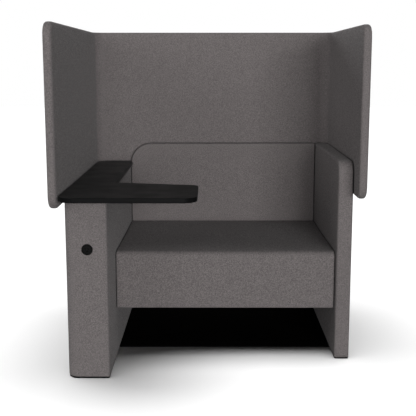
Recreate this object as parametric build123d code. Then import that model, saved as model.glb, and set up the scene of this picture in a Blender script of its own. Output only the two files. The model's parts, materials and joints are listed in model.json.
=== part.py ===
"""Acoustic high back lounge chair: a U-shaped padded screen round a seat, with an upholstered
pedestal that carries a black L-shaped worktop and a round outlet, and a slab arm opposite.

Millimetres. +Z is up, the sitter faces -Y, +X is at the right of someone who looks at the chair.
The origin is on the floor, under the middle of the whole chair. A distance is measured forwards
from the inner face of the screen's back.
"""

import os

from build123d import *

# Driving dimensions, mm.
# The screen: a board wrapped in foam and fabric. The left wing is the deeper one.
SCREEN_WIDTH = 1200
SCREEN_THICKNESS = 33
SCREEN_BOTTOM = 686
SCREEN_HEIGHT = 673
SCREEN_INNER_RADIUS = 50
SCREEN_EDGE_RADIUS = 12
SCREEN_BOARD = 12
LEFT_WING_DEPTH = 1150
RIGHT_WING_DEPTH = 920
WING_CORNER_RADIUS = 50
EDGE_STRIP_WIDTH = 8
EDGE_STRIP_THICKNESS = 3.5

# Layers and clearances.
FABRIC = 1.5
SEAM_GAP = 0.5
BOARD = 18
FIT = 0.05

# The base board and the levelling glides.
GLIDE_PROUD = 1
BASE_BOARD = 5
BASE_RECESS = 2
BASE_FRONT = 660
GLIDE_TRAVEL = 10
GLIDE_RADIUS = 14
GLIDE_POCKET_GAP = 1
GLIDE_STUD_SPARE = 7
GLIDE_INSET = 66
GLIDE_SPACING = 100

# The pedestal under the worktop.
PEDESTAL_WIDTH = 165
PEDESTAL_DEPTH = 1026
PEDESTAL_OUTER_RADIUS = 45
PEDESTAL_INNER_RADIUS = 8
PEDESTAL_FOAM = 5

# The arm.
ARM_THICKNESS = 62
ARM_DEPTH = 802
ARM_TOP = 825
ARM_CORNER_RADIUS = 50
ARM_EDGE_RADIUS = 10
ARM_FOAM = 6
ARM_SKIN = 4
ARM_RAIL = 80

# The back.
BACK_THICKNESS = 40
BACK_CORNER_RADIUS = 98
BACK_EDGE_RADIUS = 6
BACK_FOAM = 3.5

# The seat.
SEAT_TOP = 440
SEAT_HEIGHT = 232
SEAT_FRONT = 770
SEAT_FRONT_RADIUS = 30
SEAT_UNDER_RADIUS = 8
SEAT_SIDE_RADIUS = 3
SEAT_CROWN = 3
SEAT_SKIN = 5
SEAT_RAIL = 25
SEAT_RAIL_HEIGHT = 90
WEBBING_WIDTH = 50
WEBBING_PITCH = 88
WEBBING_THICKNESS = 2
DUST_COVER = 1
DUST_COVER_HEM = 15

# The worktop.
TABLE_TOP = 736
TABLE_THICKNESS = 18
TABLE_FRONT = 1180
TABLE_LEG_OVERHANG = 7.5
TABLE_REACH = 337
TABLE_ROOT_DEPTH = 411
TABLE_TIP_DEPTH = 337
TABLE_REAR_CORNER_RADIUS = 40
TABLE_FRONT_CORNER_RADIUS = 56
TABLE_NOTCH_RADIUS = 6
TABLE_EASE = 2.5
TABLE_WING_GAP = 4
TABLE_REAR_GAP = 2
TABLE_BACK_GAP = 1

# The outlet in the pedestal's front, and the grommet in its rear.
OUTLET_HEIGHT = 514.5
OUTLET_FROM_INNER_FACE = 77
OUTLET_RADIUS = 21.5
OUTLET_RIM = 4.4
OUTLET_RIM_THICKNESS = 2
OUTLET_WALL = 1.5
OUTLET_DEPTH = 45
OUTLET_FACE_THICKNESS = 3
OUTLET_FACE_RECESS = 1
SLOT_WIDTH = 2.2
SLOT_HEIGHT = 7.5
SLOT_SPACING = 12.7
EARTH_HOLE_RADIUS = 2.4
EARTH_HOLE_DROP = 11.9
GROMMET_HEIGHT = 60
GROMMET_RADIUS = 15
GROMMET_BORE_RADIUS = 10
GROMMET_FLANGE = 4
GROMMET_FLANGE_THICKNESS = 2

# Fasteners.
BOLT_RADIUS = 4
BOLT_HEAD_RADIUS = 8
BOLT_HEAD_HEIGHT = 4
BOLT_CLEARANCE = 0.4
BOLT_HEAD_CLEARANCE = 1
BOLT_END_CLEARANCE = 1
INSERT_RADIUS = 6
INSERT_LENGTH = 14
SCREW_RADIUS = 2.5
SCREW_HEAD_RADIUS = 4.5
SCREW_HEAD_HEIGHT = 2
SCREW_GRIP = 14
NUT_FLANGE_RADIUS = 11
NUT_FLANGE_THICKNESS = 1.3
NUT_BARREL_RADIUS = 5.2
NUT_BARREL_LENGTH = 12

# Where the fasteners sit: each margin is from the end of the piece that they go into.
SCREEN_TO_BACK_MARGIN = 90
SCREEN_TO_ARM_MARGIN = 170
SCREEN_TO_PEDESTAL_MARGIN = 240
BACK_BOLT_LOW_MARGIN = 140
BACK_BOLT_HIGH_MARGIN = 200
SEAT_BOLT_MARGIN = 120
ARM_POST_GRIP = 20
TABLE_SCREW_MARGIN = 100
BASE_SCREW_MARGIN = 150

# Worked out from the sizes above.
OVERALL_DEPTH = SCREEN_THICKNESS + max(LEFT_WING_DEPTH, RIGHT_WING_DEPTH, TABLE_FRONT)
BACK_FACE_Y = OVERALL_DEPTH / 2 - SCREEN_THICKNESS
SCREEN_TOP = SCREEN_BOTTOM + SCREEN_HEIGHT
INNER_X = SCREEN_WIDTH / 2 - SCREEN_THICKNESS
OVERLAP_HEIGHT = (SCREEN_BOTTOM + ARM_TOP) / 2
BASE_TOP = GLIDE_PROUD + BASE_BOARD

PEDESTAL_X = (SEAM_GAP - INNER_X, SEAM_GAP - INNER_X + PEDESTAL_WIDTH)
PEDESTAL_MID_X = sum(PEDESTAL_X) / 2
PEDESTAL_TOP = TABLE_TOP - TABLE_THICKNESS
PEDESTAL_LAYERS = FABRIC + PEDESTAL_FOAM
ARM_X = (INNER_X - SEAM_GAP - ARM_THICKNESS, INNER_X - SEAM_GAP)
ARM_MID_X = sum(ARM_X) / 2
ARM_LAYERS = FABRIC + ARM_FOAM
SLAB_X = (PEDESTAL_X[1] + SEAM_GAP, ARM_X[0] - SEAM_GAP)
SLAB_LAYERS = FABRIC + SEAT_SKIN

BACK_BOARD_NEAR = SEAM_GAP + FABRIC + BACK_FOAM
BACK_BOARD_MID = BACK_BOARD_NEAR + BOARD / 2
SEAT_BOTTOM = SEAT_TOP - SEAT_HEIGHT
SEAT_REAR = BACK_THICKNESS + SEAM_GAP
RAIL_BOTTOM = SEAT_BOTTOM + FABRIC
RAIL_TOP = RAIL_BOTTOM + SEAT_RAIL_HEIGHT
RAIL_MID_HEIGHT = (RAIL_BOTTOM + RAIL_TOP) / 2

OUTLET_X = PEDESTAL_X[1] - OUTLET_FROM_INNER_FACE
OUTLET_BARREL_RADIUS = OUTLET_RADIUS - OUTLET_RIM + OUTLET_WALL
HEAD_BORE_RADIUS = BOLT_HEAD_RADIUS + BOLT_HEAD_CLEARANCE
SHANK_BORE_RADIUS = BOLT_RADIUS + BOLT_CLEARANCE
GLIDE_STUD_LENGTH = NUT_FLANGE_THICKNESS + NUT_BARREL_LENGTH + GLIDE_TRAVEL + GLIDE_STUD_SPARE

FORWARD = (0, -1, 0)
BACKWARD = (0, 1, 0)
RIGHT = (1, 0, 0)
LEFT = (-1, 0, 0)
UP = (0, 0, 1)


# Places and simple solids.
def front(distance):
    """Y of the plane that lies this far in front of the screen's inner back face."""
    return BACK_FACE_Y - distance


def at(x, distance, z):
    return Vector(x, front(distance), z)


def block(x, distance, z):
    """A box between two X, two distances and two heights, each a pair of low and high."""
    size = (x[1] - x[0], distance[1] - distance[0], z[1] - z[0])
    return Pos(sum(x) / 2, front(sum(distance) / 2), sum(z) / 2) * Box(*size)


def rod(start, direction, radius, length):
    """A cylinder that runs from a start point along a direction."""
    align = (Align.CENTER, Align.CENTER, Align.MIN)
    return Plane(origin=start, z_dir=direction) * Cylinder(radius, length, align=align)


def tube(start, direction, radius, bore, length):
    return rod(start, direction, radius, length) - rod(start, direction, bore, length)


def prism(plane, corners, radii, depth):
    """A prism over a polygon whose corners are rounded by the given radii."""
    outline = make_face(Polyline(*corners, close=True))
    for corner, radius in zip(corners, radii):
        if radius > 0:
            vertex = outline.vertices().sort_by_distance((*corner, 0))[0]
            outline = fillet(vertex, radius)
    return plane * extrude(outline, amount=depth, dir=UP)


def plan_plane(z):
    return Plane.XY.offset(z)


def side_plane(x):
    return Plane(origin=(x, 0, 0), x_dir=BACKWARD, z_dir=RIGHT)


def front_plane(distance):
    return Plane(origin=at(0, distance, 0), x_dir=RIGHT, z_dir=FORWARD)


def plan_block(x, distance, z, radii):
    """An upright block whose vertical edges are rounded: rear left, rear right, front right,
    front left."""
    rear, near = front(distance[0]), front(distance[1])
    corners = [(x[0], rear), (x[1], rear), (x[1], near), (x[0], near)]
    return prism(plan_plane(z[0]), corners, radii, z[1] - z[0])


def group(pieces):
    """Separate solids that share a node."""
    return Compound(children=list(pieces))


def without(shape, tools):
    for tool in tools:
        shape = shape - tool
    return shape


def near_value(value, target):
    return abs(value - target) < 1e-4


def edge_box(edge):
    box = edge.bounding_box()
    return box.min, box.max


# Fasteners.
class Bolt:
    """A bolt from its head's seat along a direction, into an insert nut at its far end."""

    def __init__(self, seat, direction, length):
        self.seat = Vector(*seat)
        self.direction = Vector(*direction)
        self.length = length

    def solid(self):
        back = self.direction * -1
        head = rod(self.seat, back, BOLT_HEAD_RADIUS, BOLT_HEAD_HEIGHT)
        return head + rod(self.seat, self.direction, BOLT_RADIUS, self.length)

    def insert(self):
        start = self.seat + self.direction * (self.length - INSERT_LENGTH)
        return tube(start, self.direction, INSERT_RADIUS, BOLT_RADIUS + FIT, INSERT_LENGTH)

    def shank_bore(self):
        return rod(self.seat, self.direction, SHANK_BORE_RADIUS, self.length + BOLT_END_CLEARANCE)

    def head_bore(self):
        start = self.seat - self.direction * (BOLT_HEAD_HEIGHT + BOLT_HEAD_CLEARANCE)
        return rod(start, self.direction, HEAD_BORE_RADIUS, BOLT_HEAD_HEIGHT + BOLT_HEAD_CLEARANCE)

    def insert_bore(self):
        start = self.seat + self.direction * (self.length - INSERT_LENGTH)
        return rod(start, self.direction, INSERT_RADIUS + FIT, INSERT_LENGTH)


def spread(low, high, count, margin):
    """Evenly spaced places between two limits, each end a margin in."""
    step = (high - low - 2 * margin) / (count - 1)
    return [low + margin + step * index for index in range(count)]


def screen_bolts():
    """Bolts from the screen's board into the back, the arm's top rail and the pedestal's top."""
    board_half = SCREEN_BOARD / 2
    seat_distance = -SCREEN_THICKNESS / 2 - board_half
    seat_x = SCREEN_WIDTH / 2 - SCREEN_THICKNESS / 2 + board_half
    to_back = BACK_BOARD_NEAR + INSERT_LENGTH - seat_distance
    to_arm = seat_x - ARM_X[1] + ARM_LAYERS + ARM_SKIN + INSERT_LENGTH
    to_pedestal = seat_x + PEDESTAL_X[0] + PEDESTAL_LAYERS + INSERT_LENGTH
    bolts = {"back": [], "arm": [], "pedestal": []}
    for x in spread(*SLAB_X, 4, SCREEN_TO_BACK_MARGIN):
        bolts["back"].append(Bolt(at(x, seat_distance, OVERLAP_HEIGHT), FORWARD, to_back))
    for distance in spread(0, ARM_DEPTH, 2, SCREEN_TO_ARM_MARGIN):
        bolts["arm"].append(Bolt(at(seat_x, distance, OVERLAP_HEIGHT), LEFT, to_arm))
    for distance in spread(0, PEDESTAL_DEPTH, 2, SCREEN_TO_PEDESTAL_MARGIN):
        place = at(-seat_x, distance, PEDESTAL_TOP - BOARD / 2)
        bolts["pedestal"].append(Bolt(place, RIGHT, to_pedestal))
    return bolts


def cross_bolts(distance, heights, arm_seat_x):
    """Bolts along X, from inside the pedestal and the arm into the slab between them."""
    pedestal_seat_x = PEDESTAL_X[1] - PEDESTAL_LAYERS - BOARD
    reach = PEDESTAL_LAYERS + BOARD + SEAM_GAP + SLAB_LAYERS + INSERT_LENGTH
    arm_reach = arm_seat_x - ARM_X[0] + SEAM_GAP + SLAB_LAYERS + INSERT_LENGTH
    left = [Bolt(at(pedestal_seat_x, distance, z), RIGHT, reach) for z in heights]
    right = [Bolt(at(arm_seat_x, distance, z), LEFT, arm_reach) for z in heights]
    return left, right


def screw(start, direction, length):
    """A flat-headed screw whose head begins at the start point."""
    head = rod(start, direction, SCREW_HEAD_RADIUS, SCREW_HEAD_HEIGHT)
    return head + rod(start, direction, SCREW_RADIUS, length)


def screw_bores(start, direction, length):
    head = rod(start, direction, SCREW_HEAD_RADIUS + FIT, SCREW_HEAD_HEIGHT)
    return [head, rod(start, direction, SCREW_RADIUS + FIT, length)]


# The screen.
def screen_corners(side_inset, front_inset):
    """The U in plan: outer corners first, then the inner ones."""
    outer = SCREEN_WIDTH / 2 - side_inset
    inner = INNER_X + side_inset
    left = front(LEFT_WING_DEPTH - front_inset)
    right = front(RIGHT_WING_DEPTH - front_inset)
    back = BACK_FACE_Y + SCREEN_THICKNESS - side_inset
    face = BACK_FACE_Y + side_inset
    return [
        (-outer, left), (-outer, back), (outer, back), (outer, right),
        (inner, right), (inner, face), (-inner, face), (-inner, left),
    ]


def screen_radii(side_inset):
    outer = SCREEN_INNER_RADIUS + SCREEN_THICKNESS - side_inset
    inner = SCREEN_INNER_RADIUS + side_inset
    return [0, outer, outer, 0, 0, inner, inner, 0]


def screen_form(inset, rounding):
    """The screen's outer form, inset all round: wings with rounded corners and soft edges."""
    z_low, z_high = SCREEN_BOTTOM + inset, SCREEN_TOP - inset
    corners = screen_corners(inset, inset)
    form = prism(plan_plane(z_low), corners, screen_radii(inset), z_high - z_low)
    form = fillet(wing_corner_edges(form, inset), WING_CORNER_RADIUS - inset)
    return fillet(screen_rim_edges(form), rounding)


def wing_corner_edges(form, inset):
    """The four short edges across the wings' front ends, at top and bottom."""
    fronts = [front(LEFT_WING_DEPTH - inset), front(RIGHT_WING_DEPTH - inset)]
    chosen = []
    for edge in form.edges():
        low, high = edge_box(edge)
        is_level = near_value(low.Z, high.Z) and near_value(low.Y, high.Y)
        is_at_front = any(near_value(low.Y, y) for y in fronts)
        if is_level and is_at_front:
            chosen.append(edge)
    return chosen


def screen_rim_edges(form):
    """Every edge between the screen's faces and its rim, but no seam across the rim or up the
    rounded rear corners."""
    corner_zone = front(SCREEN_INNER_RADIUS + SCREEN_THICKNESS)
    chosen = []
    for edge in form.edges():
        low, high = edge_box(edge)
        is_upright = near_value(low.X, high.X) and near_value(low.Y, high.Y)
        is_rear_seam = is_upright and low.Y > corner_zone
        is_across = near_value(low.Y, high.Y) and near_value(low.Z, high.Z)
        is_across = is_across and high.X - low.X < SCREEN_THICKNESS + 1
        if not is_rear_seam and not is_across:
            chosen.append(edge)
    return chosen


def screen_slot(width, low, high):
    """The U-shaped slot along the middle of the screen's lower edge."""
    side_inset = (SCREEN_THICKNESS - width) / 2
    corners = screen_corners(side_inset, WING_CORNER_RADIUS + side_inset)
    return prism(plan_plane(low), corners, screen_radii(side_inset), high - low)


def screen_board_solid():
    side_inset = (SCREEN_THICKNESS - SCREEN_BOARD) / 2
    corners = screen_corners(side_inset, side_inset)
    low = SCREEN_BOTTOM + EDGE_STRIP_THICKNESS
    high = SCREEN_TOP - side_inset
    board = prism(plan_plane(low), corners, screen_radii(side_inset), high - low)
    return fillet(wing_corner_edges(board, side_inset), WING_CORNER_RADIUS - side_inset)


def make_screen(parts, bolts):
    runs = bolts["back"] + bolts["arm"] + bolts["pedestal"]
    shanks = [bolt.shank_bore() for bolt in runs]
    heads = [bolt.head_bore() for bolt in runs]
    core = screen_form(FABRIC, SCREEN_EDGE_RADIUS - FABRIC)
    board = screen_board_solid()
    strip_top = SCREEN_BOTTOM + EDGE_STRIP_THICKNESS
    slot = screen_slot(EDGE_STRIP_WIDTH + 2 * FIT, SCREEN_BOTTOM - 1, strip_top)
    parts["screen_board"] = without(board, shanks)
    parts["screen_foam"] = without(core - board - slot, shanks + heads)
    cover = screen_form(0, SCREEN_EDGE_RADIUS) - core - slot
    parts["screen_cover"] = without(cover, shanks)
    parts["screen_edge_strip"] = screen_slot(EDGE_STRIP_WIDTH, SCREEN_BOTTOM, strip_top)


# The pedestal.
def pedestal_block(inset, z):
    radii = [
        SCREEN_INNER_RADIUS - SEAM_GAP - inset,
        0,
        PEDESTAL_INNER_RADIUS - inset,
        PEDESTAL_OUTER_RADIUS - inset,
    ]
    x = (PEDESTAL_X[0] + inset, PEDESTAL_X[1] - inset)
    distance = (SEAM_GAP + inset, PEDESTAL_DEPTH - inset)
    return plan_block(x, distance, z, radii)


def make_pedestal(parts, shared):
    low, high = BASE_TOP, PEDESTAL_TOP
    wall_z = (low + BOARD, high - BOARD)
    core = pedestal_block(PEDESTAL_LAYERS, (low, high))
    x = (PEDESTAL_X[0] + PEDESTAL_LAYERS, PEDESTAL_X[1] - PEDESTAL_LAYERS)
    distance = (SEAM_GAP + PEDESTAL_LAYERS, PEDESTAL_DEPTH - PEDESTAL_LAYERS)
    inner_x = (x[0] + BOARD, x[1] - BOARD)
    ends = {
        "pedestal_outer_board": block((x[0], inner_x[0]), distance, wall_z),
        "pedestal_inner_board": block((inner_x[1], x[1]), distance, wall_z),
        "pedestal_rear_board": block(inner_x, (distance[0], distance[0] + BOARD), wall_z),
        "pedestal_front_board": block(inner_x, (distance[1] - BOARD, distance[1]), wall_z),
        "pedestal_top_board": block(x, distance, (high - BOARD, high)),
        "pedestal_bottom_board": block(x, distance, (low, low + BOARD)),
    }
    tools = shared["pedestal_bores"]
    for node, slab in ends.items():
        parts[node] = without(core & slab, tools)
    foam = pedestal_block(FABRIC, (low, high)) - core
    cover = pedestal_block(0, (low, high)) - pedestal_block(FABRIC, (low, high))
    parts["pedestal_foam"] = without(foam, tools)
    parts["pedestal_cover"] = without(cover, tools)


# The arm.
def arm_form(inset):
    """The arm's outer form, inset all round but at the floor: rounded front top corner, soft
    edges, and a rear corner that follows the screen's."""
    x = (ARM_X[0] + inset, ARM_X[1] - inset)
    distance = (SEAM_GAP + inset, ARM_DEPTH - inset)
    top = ARM_TOP - inset
    rear_radius = SCREEN_INNER_RADIUS - SEAM_GAP - inset
    form = plan_block(x, distance, (BASE_TOP, top), [0, rear_radius, 0, 0])
    near = front(distance[1])
    corner = [e for e in form.edges() if is_front_top(e, near, top)]
    form = fillet(corner, ARM_CORNER_RADIUS - inset)
    rim = [e for e in form.edges() if is_arm_rim(e, x, near, top)]
    return fillet(rim, max(ARM_EDGE_RADIUS - inset, 1))


def is_front_top(edge, y, z):
    low, high = edge_box(edge)
    return near_value(low.Y, y) and near_value(high.Y, y) and near_value(low.Z, z)


def is_arm_rim(edge, x, y, top):
    """On one of the arm's two sides, along its top, its front corner or its front."""
    low, high = edge_box(edge)
    is_on_side = near_value(low.X, high.X) and any(near_value(low.X, side) for side in x)
    is_top = near_value(low.Z, top) and near_value(high.Z, top)
    is_front = near_value(low.Y, y) and near_value(high.Y, y)
    is_corner = near_value(low.Y, y) and near_value(high.Z, top)
    return is_on_side and (is_top or is_front or is_corner)


def make_arm(parts, shared):
    core = arm_form(ARM_LAYERS)
    low, top = BASE_TOP, ARM_TOP - ARM_LAYERS
    x = (ARM_X[0] + ARM_LAYERS, ARM_X[1] - ARM_LAYERS)
    rail_x = (x[0] + ARM_SKIN, x[1] - ARM_SKIN)
    rear, near = SEAM_GAP + ARM_LAYERS, ARM_DEPTH - ARM_LAYERS
    between = (rear + ARM_RAIL, near - ARM_RAIL)
    seat_rail_z = (RAIL_MID_HEIGHT - ARM_RAIL / 2, RAIL_MID_HEIGHT + ARM_RAIL / 2)
    ends = {
        "arm_inner_skin": block((x[0], rail_x[0]), (rear, near), (low, top)),
        "arm_outer_skin": block((rail_x[1], x[1]), (rear + ARM_RAIL, near), (low, top)),
        "arm_rear_post": block((rail_x[0], x[1]), (rear, rear + ARM_RAIL), (low, top)),
        "arm_front_post": block(rail_x, (near - ARM_RAIL, near), (low, top)),
        "arm_top_rail": block(rail_x, between, (top - ARM_RAIL, top)),
        "arm_seat_rail": block(rail_x, between, seat_rail_z),
        "arm_bottom_rail": block(rail_x, between, (low, low + ARM_RAIL)),
    }
    tools = shared["arm_bores"]
    for node, slab in ends.items():
        parts[node] = without(core & slab, tools)
    skin = arm_form(FABRIC)
    parts["arm_foam"] = without(skin - core, tools)
    parts["arm_cover"] = without(arm_form(0) - skin, tools)


# The back.
def back_form(inset, rounding):
    """The back's form, inset all round but at the floor: one large top corner, soft edges."""
    x = (SLAB_X[0] + inset, SLAB_X[1] - inset)
    top = ARM_TOP - inset
    corners = [(x[0], BASE_TOP), (x[0], top), (x[1], top), (x[1], BASE_TOP)]
    radii = [0, BACK_CORNER_RADIUS - inset, 0, 0]
    depth = BACK_THICKNESS - SEAM_GAP - 2 * inset
    form = prism(front_plane(SEAM_GAP + inset), corners, radii, depth)
    if rounding <= 0:
        return form
    near = front(BACK_THICKNESS - inset)
    rim = [e for e in form.edges() if is_back_rim(e, near)]
    return fillet(rim, rounding)


def is_back_rim(edge, y):
    low, high = edge_box(edge)
    return near_value(low.Y, y) and near_value(high.Y, y) and high.Z > BASE_TOP + 1


def make_back(parts, shared):
    inset = SLAB_LAYERS
    x = (SLAB_X[0] + inset, SLAB_X[1] - inset)
    corners = [(x[0], BASE_TOP), (x[0], ARM_TOP - inset), (x[1], ARM_TOP - inset), (x[1], BASE_TOP)]
    radii = [0, BACK_CORNER_RADIUS - inset, 0, 0]
    board = prism(front_plane(BACK_BOARD_NEAR), corners, radii, BOARD)
    skin = back_form(FABRIC, BACK_EDGE_RADIUS - FABRIC)
    tools = shared["slab_bores"]
    parts["back_board"] = without(board, tools)
    parts["back_foam"] = without(skin - board, tools)
    parts["back_cover"] = without(back_form(0, BACK_EDGE_RADIUS) - skin, tools)


# The seat.
def seat_form(inset):
    """The seat block, inset all round: a crowned top that swells above the seat's height, a
    rounded front and soft sides."""
    rear, near = front(SEAT_REAR + inset), front(SEAT_FRONT - inset)
    low, shoulder = SEAT_BOTTOM + inset, SEAT_TOP - inset
    middle = ((rear + near) / 2, shoulder + SEAT_CROWN)
    crown = ThreePointArc((rear, shoulder), middle, (near, shoulder))
    rest = Polyline((near, shoulder), (near, low), (rear, low), (rear, shoulder))
    outline = make_face([crown, rest])
    rounds = [
        ((near, shoulder), SEAT_FRONT_RADIUS - inset),
        ((near, low), SEAT_UNDER_RADIUS - inset),
    ]
    for corner, radius in rounds:
        vertex = outline.vertices().sort_by_distance((*corner, 0))[0]
        outline = fillet(vertex, radius)
    x = (SLAB_X[0] + inset, SLAB_X[1] - inset)
    form = side_plane(x[0]) * extrude(outline, amount=x[1] - x[0], dir=UP)
    sides = [e for e in form.edges() if is_seat_rim(e, x, rear)]
    return fillet(sides, max(SEAT_SIDE_RADIUS - inset, 1))


def is_seat_rim(edge, x, rear):
    low, high = edge_box(edge)
    is_on_side = near_value(low.X, high.X) and any(near_value(low.X, side) for side in x)
    is_rear = near_value(low.Y, rear) and near_value(high.Y, rear)
    return is_on_side and not is_rear


def webbing_straps(x, distance):
    """Straps that run from the rear rail to the front rail, on top of both."""
    count = int((x[1] - x[0] - WEBBING_WIDTH) // WEBBING_PITCH) + 1
    first = (x[0] + x[1] - WEBBING_PITCH * (count - 1)) / 2
    z = (RAIL_TOP, RAIL_TOP + WEBBING_THICKNESS)
    straps = []
    for index in range(count):
        middle = first + WEBBING_PITCH * index
        straps.append(block((middle - WEBBING_WIDTH / 2, middle + WEBBING_WIDTH / 2), distance, z))
    return straps


def make_seat(parts, shared):
    x = (SLAB_X[0] + SLAB_LAYERS, SLAB_X[1] - SLAB_LAYERS)
    distance = (SEAT_REAR + SLAB_LAYERS, SEAT_FRONT - SLAB_LAYERS)
    inner_x = (x[0] + SEAT_RAIL, x[1] - SEAT_RAIL)
    z = (RAIL_BOTTOM, RAIL_TOP)
    tools = shared["slab_bores"]
    skin = seat_form(FABRIC)
    rails = {
        "seat_left_rail": block((x[0], inner_x[0]), distance, z),
        "seat_right_rail": block((inner_x[1], x[1]), distance, z),
        "seat_rear_rail": block(inner_x, (distance[0], distance[0] + SEAT_RAIL), z),
        "seat_front_rail": block(inner_x, (distance[1] - SEAT_RAIL, distance[1]), z),
    }
    for node, rail in rails.items():
        parts[node] = without(skin & rail, tools)
    parts["seat_webbing"] = group(webbing_straps(inner_x, distance))
    hollow = block(x, distance, (SEAT_BOTTOM, RAIL_TOP + WEBBING_THICKNESS))
    parts["seat_foam"] = without(skin - hollow, tools)
    mouth_x = (x[0] + DUST_COVER_HEM, x[1] - DUST_COVER_HEM)
    mouth = (distance[0] + DUST_COVER_HEM, distance[1] - DUST_COVER_HEM)
    opening = block(mouth_x, mouth, (SEAT_BOTTOM - 1, RAIL_BOTTOM))
    parts["seat_cover"] = without(seat_form(0) - skin - opening, tools)
    dust_x = (mouth_x[0] + SEAM_GAP, mouth_x[1] - SEAM_GAP)
    dust = (mouth[0] + SEAM_GAP, mouth[1] - SEAM_GAP)
    parts["seat_dust_cover"] = block(dust_x, dust, (RAIL_BOTTOM - DUST_COVER, RAIL_BOTTOM))


# The worktop.
def table_corners():
    left = TABLE_WING_GAP - INNER_X
    beside_back = PEDESTAL_X[1]
    leg = beside_back + TABLE_LEG_OVERHANG
    tip = leg + TABLE_REACH
    rear, near = front(TABLE_REAR_GAP), front(TABLE_FRONT)
    before_back = front(BACK_THICKNESS + TABLE_BACK_GAP)
    root = near + TABLE_ROOT_DEPTH
    tip_rear = near + TABLE_TIP_DEPTH
    return [
        (left, rear),
        (beside_back, rear),
        (beside_back, before_back),
        (leg, before_back),
        (leg, root),
        (tip, tip_rear),
        (tip, near),
        (left, near),
    ]


def make_tabletop(parts, shared):
    rear_radius = SCREEN_INNER_RADIUS - TABLE_REAR_GAP
    radii = [
        rear_radius,
        0,
        0,
        0,
        TABLE_NOTCH_RADIUS,
        TABLE_REAR_CORNER_RADIUS,
        TABLE_FRONT_CORNER_RADIUS,
        TABLE_FRONT_CORNER_RADIUS,
    ]
    top = prism(plan_plane(PEDESTAL_TOP), table_corners(), radii, TABLE_THICKNESS)
    rim = [e for e in top.edges() if near_value(edge_box(e)[0].Z, edge_box(e)[1].Z)]
    top = fillet(rim, TABLE_EASE)
    parts["tabletop"] = without(top, shared["table_bores"])


# The base board and the glides.
def glide_places():
    half = GLIDE_SPACING / 2
    outer, inner = PEDESTAL_MID_X - half, PEDESTAL_MID_X + half
    pedestal_front = PEDESTAL_DEPTH - GLIDE_INSET
    return {
        "pedestal_front_outer": (outer, pedestal_front),
        "pedestal_front_inner": (inner, pedestal_front),
        "pedestal_rear_outer": (outer, GLIDE_INSET),
        "pedestal_rear_inner": (inner, GLIDE_INSET),
        "arm_front": (ARM_MID_X, ARM_DEPTH - GLIDE_INSET / 2),
        "arm_rear": (ARM_MID_X, GLIDE_INSET),
    }


def base_screw_places():
    """Screws into the pedestal's bottom board and the arm's bottom rail."""
    under_pedestal = spread(0, PEDESTAL_DEPTH, 3, BASE_SCREW_MARGIN)
    under_arm = spread(0, ARM_DEPTH, 2, BASE_SCREW_MARGIN)
    places = [(PEDESTAL_MID_X, distance) for distance in under_pedestal]
    return places + [(ARM_MID_X, distance) for distance in under_arm]


def make_base(parts, glides, screws):
    z = (GLIDE_PROUD, BASE_TOP)
    x = (PEDESTAL_X[0] + BASE_RECESS, ARM_X[1] - BASE_RECESS)
    rear = SEAM_GAP + BASE_RECESS
    rear_radius = SCREEN_INNER_RADIUS - SEAM_GAP - BASE_RECESS
    left, right = PEDESTAL_X[1] - BASE_RECESS, ARM_X[0] + BASE_RECESS
    far = front(rear)
    near_left = front(PEDESTAL_DEPTH - BASE_RECESS)
    near_right = front(ARM_DEPTH - BASE_RECESS)
    middle = front(BASE_FRONT)
    corners = [
        (x[0], far), (x[1], far), (x[1], near_right), (right, near_right),
        (right, middle), (left, middle), (left, near_left), (x[0], near_left),
    ]
    inner_radius = PEDESTAL_INNER_RADIUS - BASE_RECESS
    outer_radius = PEDESTAL_OUTER_RADIUS - BASE_RECESS
    arm_radius = ARM_EDGE_RADIUS - BASE_RECESS
    radii = [rear_radius, rear_radius, arm_radius, arm_radius, 0, 0, inner_radius, outer_radius]
    board = prism(plan_plane(z[0]), corners, radii, BASE_BOARD)
    pockets = [rod(at(*place, 0), UP, GLIDE_RADIUS + GLIDE_POCKET_GAP, BASE_TOP)
               for place in glides.values()]
    parts["base_board"] = without(board, pockets + screws["bores"])
    parts["base_screws"] = group(screws["solids"])


def make_glides(parts, glides):
    """Each glide is a nylon pad on a steel stud that screws into a tee nut. Screwed right in, the
    pad stops against the nut's flange."""
    nuts = []
    flange_low = BASE_TOP - NUT_FLANGE_THICKNESS
    for name, place in glides.items():
        pad = rod(at(*place, 0), UP, GLIDE_RADIUS, flange_low)
        rim = [e for e in pad.edges() if near_value(edge_box(e)[1].Z, 0)]
        parts["glide_pad_" + name] = chamfer(rim, GLIDE_PROUD)
        stud = rod(at(*place, flange_low), UP, BOLT_RADIUS, GLIDE_STUD_LENGTH)
        parts["glide_stud_" + name] = stud
        flange = rod(at(*place, flange_low), UP, NUT_FLANGE_RADIUS, NUT_FLANGE_THICKNESS)
        barrel = rod(at(*place, BASE_TOP), UP, NUT_BARREL_RADIUS, NUT_BARREL_LENGTH)
        bore = rod(at(*place, flange_low), UP, BOLT_RADIUS + FIT, GLIDE_STUD_LENGTH)
        nuts.append(flange + barrel - bore)
    parts["glide_nuts"] = group(nuts)


def glide_bores(glides):
    """Room for each tee nut's barrel and for the stud above it."""
    bores = []
    for place in glides.values():
        start = at(*place, BASE_TOP)
        bores.append(rod(start, UP, NUT_BARREL_RADIUS + FIT, NUT_BARREL_LENGTH))
        bores.append(rod(start, UP, SHANK_BORE_RADIUS, GLIDE_STUD_LENGTH))
    return bores


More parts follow.
